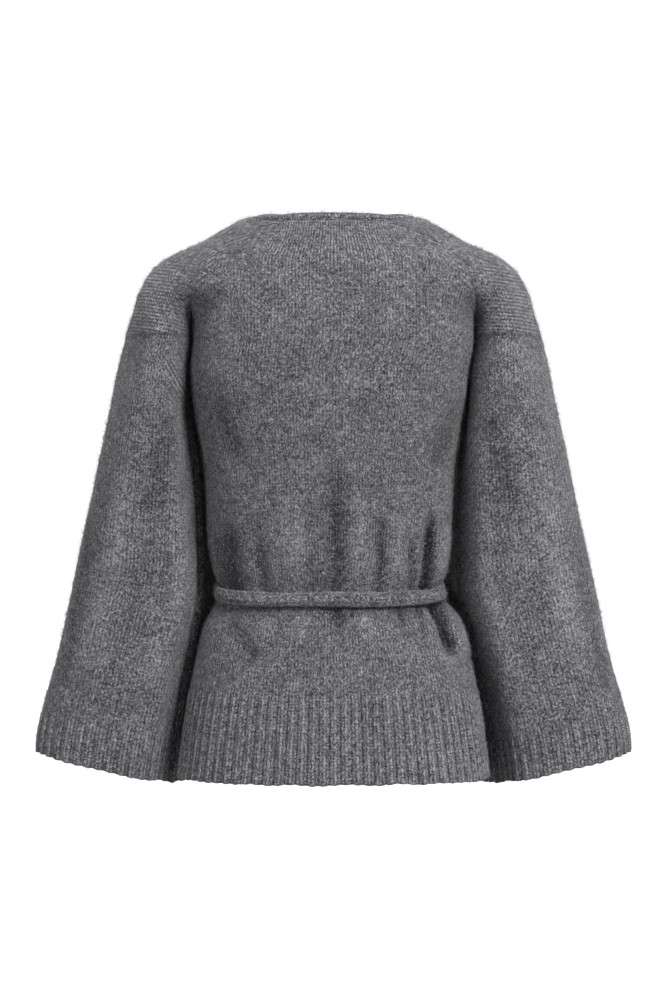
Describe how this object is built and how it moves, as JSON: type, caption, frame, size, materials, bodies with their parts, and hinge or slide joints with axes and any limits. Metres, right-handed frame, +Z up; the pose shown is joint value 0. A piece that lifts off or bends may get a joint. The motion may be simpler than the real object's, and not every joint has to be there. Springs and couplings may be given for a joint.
{
  "type": "wrap cardigan",
  "caption": "Hip-length wrap cardigan in brushed grey wool knit, with wide raglan sleeves, ribbed hem and cuffs and a tie belt, in its worn form.",
  "frame": {"origin": "between the shoulders, at the height of the back neck's rim, where the wearer holds the garment up", "axes": "+Z up, -Y the way the wearer faces, +X to the wearer's left"},
  "size_m": [0.628, 0.2363, 0.5991],
  "materials": {
    "back": "matte",
    "front_left": "matte",
    "front_right": "matte",
    "sleeve_left": "matte",
    "sleeve_right": "matte",
    "neckband": "matte",
    "belt_waist": "matte",
    "belt_knot": "matte",
    "belt_end_left": "matte",
    "belt_end_right": "matte"
  },
  "bodies": {
    "root": {"back": "back", "front_left": "front_left", "front_right": "front_right", "sleeve_left": "sleeve_left", "sleeve_right": "sleeve_right", "neckband": "neckband", "belt_waist": "belt_waist", "belt_knot": "belt_knot", "belt_end_left": "belt_end_left", "belt_end_right": "belt_end_right"}
  },
  "joints": []
}
